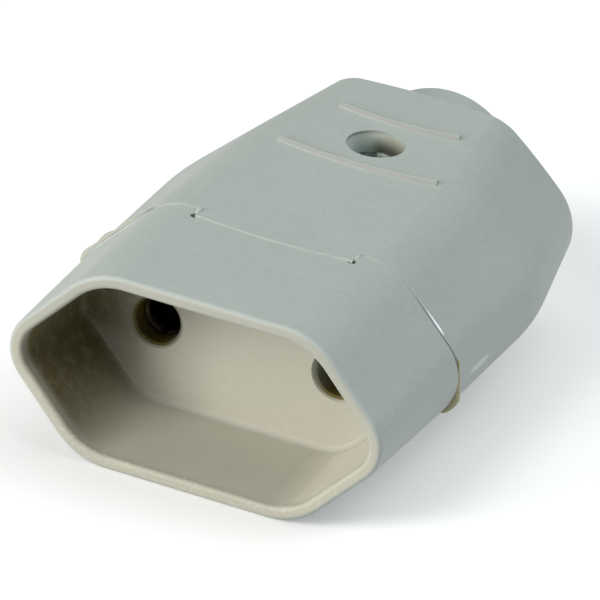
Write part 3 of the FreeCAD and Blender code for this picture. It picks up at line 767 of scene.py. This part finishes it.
@dataclass(frozen=True)
class SeamSection:
    """The rounded six-sided section of the shells' front edge."""

    width: float = 43.3 * MM
    flat: float = 23.8 * MM
    height: float = 20.4 * MM
    side_radius: float = 5.2 * MM
    edge_radius: float = 6.3 * MM
    steps: int = 400

    def reach(self, height: float) -> float:
        """Half the section's width at a height.

        Args:
            height: Above or below the middle, in metres.

        Returns:
            How far the outline is from the middle plane.
        """
        up = abs(height)
        slope = math.atan2(self.height, self.width - self.flat)
        if up < self.side_radius * math.cos(slope):
            centre = self.width / 2 - self.side_radius / math.sin(slope)
            return centre + math.sqrt(self.side_radius ** 2 - up ** 2)
        over = up - self.height / 2 + self.edge_radius
        if over < self.edge_radius * math.cos(slope):
            return self.width / 2 - up / math.tan(slope)
        centre = self.flat / 2 - self.edge_radius * math.tan(slope / 2)
        return centre + math.sqrt(self.edge_radius ** 2 - over ** 2)

    def outline(self) -> list[Vector]:
        """The right half of the outline.

        Returns:
            Its points, from the top middle to the bottom middle.
        """
        top = 0.5 * self.height
        heights = [top * i / self.steps for i in range(self.steps, -1, -1)]
        upper = [Vector((0.0, 0.0, top))] + [Vector((self.reach(z), 0.0, z)) for z in heights]
        return upper + [Vector((point.x, 0.0, -point.z)) for point in reversed(upper[:-1])]

    def walk(self, start: float, end: float, count: int) -> list[tuple[Vector, Vector]]:
        """Places along the right half, with their outward directions.

        Args:
            start: Where it begins, along the outline from the top middle.
            end: Where it ends.
            count: How many places.

        Returns:
            Pairs of a place and a direction.
        """
        points = self.outline()
        made = []
        for i in range(count):
            left = start + (end - start) * i / (count - 1)
            step = 0
            while left > (points[step + 1] - points[step]).length:
                left -= (points[step + 1] - points[step]).length
                step += 1
            along = (points[step + 1] - points[step]).normalized()
            made.append((points[step] + along * left, Vector((-along.z, 0.0, along.x))))
        return made


class BeadTree:
    """The one node tree that sweeps every bead of flash along its path."""

    NAME = "bead_sweep"
    INPUTS = {"Path": "NodeSocketGeometry", "Thickness": "NodeSocketFloat", "Flatness": "NodeSocketFloat",
              "Waves": "NodeSocketFloat", "Wave depth": "NodeSocketFloat", "Lean": "NodeSocketFloat",
              "Finish": "NodeSocketMaterial"}
    POINTS = 90
    SIDES = 14
    TAPER = 0.5
    THINNEST = 0.02 * MM

    @classmethod
    def get(cls) -> bpy.types.NodeTree:
        """The tree, made on its first use."""
        return bpy.data.node_groups.get(cls.NAME) or cls.build()

    @classmethod
    def build(cls) -> bpy.types.NodeTree:
        """Makes the tree.

        Returns:
            The tree: a round bead that tapers to both ends, waves and leans to one end.
        """
        group = bpy.data.node_groups.new(cls.NAME, "GeometryNodeTree")
        for title, kind in cls.INPUTS.items():
            group.interface.new_socket(name=title, in_out="INPUT", socket_type=kind)
        group.interface.new_socket(name="Bead", in_out="OUTPUT", socket_type="NodeSocketGeometry")
        tree = NodeTree(group)
        entry = group.nodes.new("NodeGroupInput")
        given = {socket.name: Signal(tree, socket) for socket in entry.outputs}
        smooth = tree.node("GeometryNodeResampleCurve", None, {"Curve": given["Path"], "Count": cls.POINTS})
        run = tree.node("GeometryNodeSplineParameter", output="Factor")
        taper = (run * math.pi).sine().at_least(0.0) ** cls.TAPER
        wave = 1 + given["Wave depth"] * (run * given["Waves"] * (2 * math.pi)).sine()
        lean = 1 + given["Lean"] * (2 * run - 1)
        radius = (taper * wave * lean * given["Thickness"]).at_least(cls.THINNEST)
        ring = tree.node("GeometryNodeCurvePrimitiveCircle", None, {"Resolution": cls.SIDES, "Radius": 1.0})
        stretch = tree.node("ShaderNodeCombineXYZ", None, {"X": given["Flatness"], "Y": 1.0, "Z": 1.0})
        oval = tree.node("GeometryNodeTransform", None, {"Geometry": ring, "Scale": stretch})
        sweep = tree.node("GeometryNodeCurveToMesh", None,
                          {"Curve": smooth, "Profile Curve": oval, "Scale": radius, "Fill Caps": True})
        soft = tree.node("GeometryNodeSetShadeSmooth", None, {"Geometry": sweep})
        whole = tree.node("GeometryNodeRealizeInstances", None, {"Geometry": soft})
        dressed = tree.node("GeometryNodeSetMaterial", None,
                            {"Geometry": whole, "Material": given["Finish"]})
        leave = group.nodes.new("NodeGroupOutput")
        tree.feed(leave.inputs["Bead"], dressed)
        return group


@dataclass(kw_only=True)
class Bead:
    """A bead of moulding flash that follows a path."""

    name: str
    thickness: float
    finish: Finish = Finish.BURR
    flatness: float = 1.0
    waves: float = 1.0
    wave_depth: float = 0.0
    lean: float = 0.0

    def path(self) -> list[Vector]:
        """The places that the bead follows."""
        raise NotImplementedError

    def guide(self) -> bpy.types.Object:
        """Makes the line that the bead is swept along.

        Returns:
            A curve object.
        """
        curve = bpy.data.curves.new(f"{self.name}_path", "CURVE")
        curve.dimensions = "3D"
        spline = curve.splines.new("POLY")
        places = self.path()
        spline.points.add(len(places) - 1)
        for point, place in zip(spline.points, places):
            point.co = (*place, 1.0)
        guide = bpy.data.objects.new(f"{self.name}_path", curve)
        bpy.context.scene.collection.objects.link(guide)
        return guide

    def build(self, materials: Materials) -> bpy.types.Object:
        """Sweeps the bead and fixes it to the part.

        Args:
            materials: The built material of each finish.

        Returns:
            The finished piece.
        """
        guide = self.guide()
        group = BeadTree.get()
        modifier = guide.modifiers.new("sweep", "NODES")
        modifier.node_group = group
        values = {"Thickness": self.thickness, "Flatness": self.flatness, "Waves": self.waves,
                  "Wave depth": self.wave_depth, "Lean": self.lean, "Finish": materials[self.finish]}
        for item in group.interface.items_tree:
            if item.name in values:
                modifier[item.identifier] = values[item.name]
        ready = guide.evaluated_get(bpy.context.evaluated_depsgraph_get())
        mesh = bpy.data.meshes.new_from_object(ready)
        mesh.name = self.name
        guide.modifiers.remove(modifier)
        bpy.data.objects.remove(guide)
        piece = bpy.data.objects.new(self.name, mesh)
        bpy.context.scene.collection.objects.link(piece)
        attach(piece, ROOT_BODY)
        return piece


@dataclass(kw_only=True)
class SeamBead(Bead):
    """Flash along one side of the seam."""

    side: int
    start: float
    end: float
    station: float
    end_station: float
    raised: float = 0.0
    limit: float = 19.8 * MM
    points: int = 40

    def path(self) -> list[Vector]:
        """Places along the seam's outline, kept inside the part's width.

        Returns:
            The places.
        """
        made = []
        for i, (place, outward) in enumerate(SeamSection().walk(self.start, self.end, self.points)):
            place = place + outward * self.raised
            x = min(place.x, self.limit - self.thickness)
            y = self.station + (self.end_station - self.station) * i / (self.points - 1)
            made.append(Vector((self.side * x, y, place.z)))
        return made


@dataclass(kw_only=True)
class TabBead(Bead):
    """A blob of flash in the gap beside the tab."""

    x: float
    near: float
    far: float
    height: float
    steps: int = 6

    def path(self) -> list[Vector]:
        """A straight run along Y."""
        step = (self.far - self.near) / self.steps
        return [Vector((self.x, self.near + step * i, self.height)) for i in range(self.steps + 1)]


@dataclass(frozen=True)
class SoftLight:
    """A square light that faces the object."""

    name: str
    place: Vector
    size: float
    power: float
    colour: Colour

    def build(self, target: Vector) -> None:
        """Sets up the light.

        Args:
            target: What it is aimed at.
        """
        data = bpy.data.lights.new(self.name, "AREA")
        data.size = self.size
        data.energy = self.power
        data.color = self.colour
        light = bpy.data.objects.new(self.name, data)
        light.location = self.place
        light.rotation_euler = (target - self.place).to_track_quat("-Z", "Y").to_euler()
        bpy.context.scene.collection.objects.link(light)


@dataclass
class Studio:
    """Floor, soft lights and the camera."""

    floor_half: float = 3.0
    lights: tuple[SoftLight, ...] = (
        SoftLight("key", Vector((-0.65, -0.75, 0.22)), 0.4, 9.6, (1.0, 0.98, 0.94)),
        SoftLight("front", Vector((-0.35, -0.7, 0.65)), 0.5, 7.2, (1.0, 0.99, 0.96)),
        SoftLight("overhead", Vector((0.15, 0.3, 1.0)), 1.4, 8.8, (0.97, 1.0, 1.0)),
        SoftLight("side", Vector((0.75, 0.4, 0.8)), 0.9, 6.9, (0.91, 0.99, 1.03)),
    )
    sky_colour: tuple[float, float, float, float] = (0.93, 0.98, 1.0, 1.0)
    sky_strength: float = 0.03
    target: Vector = Vector((0.0, 14 * MM, 0.0))
    azimuth: float = math.radians(21.84)
    elevation: float = math.radians(27.54)
    roll: float = math.radians(5.93)
    distance: float = 933 * MM
    pixels_per_mm: float = 10.43
    picture: int = 600
    sensor: float = 36.0
    sight: float = 20.0
    aim_right: float = -0.765 * MM
    aim_up: float = -0.83 * MM

    def build(self) -> None:
        """Sets up everything around the object."""
        self.lay_floor()
        self.light()
        self.aim_camera()

    def lay_floor(self) -> None:
        """A large pale sheet at the lowest point of the object."""
        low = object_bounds()[0][2]
        half = self.floor_half
        corners = [(-half, -half, low), (half, -half, low), (half, half, low), (-half, half, low)]
        mesh = bpy.data.meshes.new("floor")
        mesh.from_pydata(corners, [], [(0, 1, 2, 3)])
        mesh.materials.append(PaleFloor().build())
        floor = bpy.data.objects.new("floor", mesh)
        bpy.context.scene.collection.objects.link(floor)
        floor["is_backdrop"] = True

    def light(self) -> None:
        """A low warm key and a fill from the front left, wide cool lights behind, a faint sky."""
        for light in self.lights:
            light.build(self.target)
        world = bpy.data.worlds.new("even_sky")
        world.use_nodes = True
        sky = world.node_tree.nodes["Background"]
        sky.inputs["Color"].default_value = self.sky_colour
        sky.inputs["Strength"].default_value = self.sky_strength
        bpy.context.scene.world = world
        bpy.context.scene.view_settings.view_transform = "Standard"

    def aim_camera(self) -> None:
        """The camera that took the photograph, as fitted to its outline."""
        cos_el = math.cos(self.elevation)
        back = Vector((math.sin(self.azimuth) * cos_el, -math.cos(self.azimuth) * cos_el,
                       math.sin(self.elevation)))
        level = Vector((math.cos(self.azimuth), math.sin(self.azimuth), 0.0))
        upright = back.cross(level)
        right = level * math.cos(self.roll) + upright * math.sin(self.roll)
        up = upright * math.cos(self.roll) - level * math.sin(self.roll)
        data = bpy.data.cameras.new("camera")
        data.sensor_width = self.sensor
        data.lens = self.pixels_per_mm * self.distance / MM / self.picture * self.sensor
        data.clip_end = self.sight
        camera = bpy.data.objects.new("camera", data)
        centre = self.target + self.aim_right * right + self.aim_up * up
        turn = Matrix((right, up, back)).transposed().to_4x4()
        camera.matrix_world = Matrix.Translation(centre + back * self.distance) @ turn
        bpy.context.scene.collection.objects.link(camera)
        bpy.context.scene.camera = camera


def assemblies() -> list[Assembly]:
    """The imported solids, grouped by finish.

    Returns:
        The groups.
    """
    fasteners = ("housing_screw", "housing_nut", "left_terminal_screw", "right_terminal_screw",
                 "left_clamp_screw", "right_clamp_screw")
    return [
        Assembly("front moulding", ("front_socket",), Finish.HOOD),
        Assembly("rear housing", ("upper_shell", "lower_shell", "cord_clamp"), Finish.SHELL),
        Assembly("screws and nut", fasteners, Finish.ZINC),
        Assembly("contacts", ("left_contact", "right_contact"), Finish.BRASS),
    ]


def flashes() -> list[Bead]:
    """The flash along the seam and beside the tab.

    Returns:
        The beads.
    """
    return [
        SeamBead(name="left_flash", finish=Finish.FLASH, side=-1, start=26.2 * MM, end=13.5 * MM,
                 station=4.1 * MM, end_station=5.5 * MM, thickness=0.34 * MM, raised=0.1 * MM,
                 waves=4.2, wave_depth=0.35, lean=-0.5),
        SeamBead(name="right_lip", finish=Finish.LIP, side=1, start=22.0 * MM, end=28.9 * MM,
                 station=5.6 * MM, end_station=5.6 * MM, thickness=0.34 * MM, raised=0.1 * MM,
                 waves=0.5, wave_depth=0.2, lean=0.8, limit=19.72 * MM),
        SeamBead(name="right_fill", finish=Finish.SHELL, side=1, start=7.9 * MM, end=17.0 * MM,
                 station=5.45 * MM, end_station=5.45 * MM, thickness=0.22 * MM, raised=-0.19 * MM),
        SeamBead(name="right_burr", side=1, start=11.5 * MM, end=20.8 * MM,
                 station=5.52 * MM, end_station=5.52 * MM, thickness=0.13 * MM, raised=-0.05 * MM,
                 waves=3.0, wave_depth=0.15, lean=0.4),
        # A painted highlight: a near-white bead along the burr.
        SeamBead(name="right_glint", finish=Finish.GLINT, side=1, start=16.4 * MM, end=19.8 * MM,
                 station=5.54 * MM, end_station=5.54 * MM, thickness=0.13 * MM, raised=0.03 * MM,
                 lean=0.6),
        SeamBead(name="left_line", side=-1, start=21.5 * MM, end=13.8 * MM,
                 station=3.2 * MM, end_station=5.1 * MM, thickness=0.12 * MM, raised=-0.03 * MM,
                 waves=1.5, wave_depth=0.2, lean=-0.3),
        SeamBead(name="left_burr", finish=Finish.SHELL, side=-1, start=7.9 * MM, end=15.0 * MM,
                 station=5.47 * MM, end_station=5.47 * MM, thickness=0.21 * MM, raised=-0.195 * MM),
        TabBead(name="left_tab_blob", x=-8.3 * MM, near=4.2 * MM, far=5.7 * MM, height=10.08 * MM,
                thickness=0.3 * MM, lean=0.2),
        TabBead(name="right_tab_blob", x=8.3 * MM, near=4.2 * MM, far=5.7 * MM, height=10.02 * MM,
                thickness=0.24 * MM, lean=0.2),
    ]


def main() -> None:
    """Builds the looks in order."""
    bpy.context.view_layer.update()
    materials = {finish: finish.value.build() for finish in Finish}
    for group in assemblies():
        group.dress(materials)
        LOG.info("%s: %s", group.title, ", ".join(group.nodes))
    for flash in flashes():
        piece = flash.build(materials)
        LOG.info("flash: %s, %d faces", piece.name, len(piece.data.polygons))
    Studio().build()


if __name__ == "__main__":
    main()
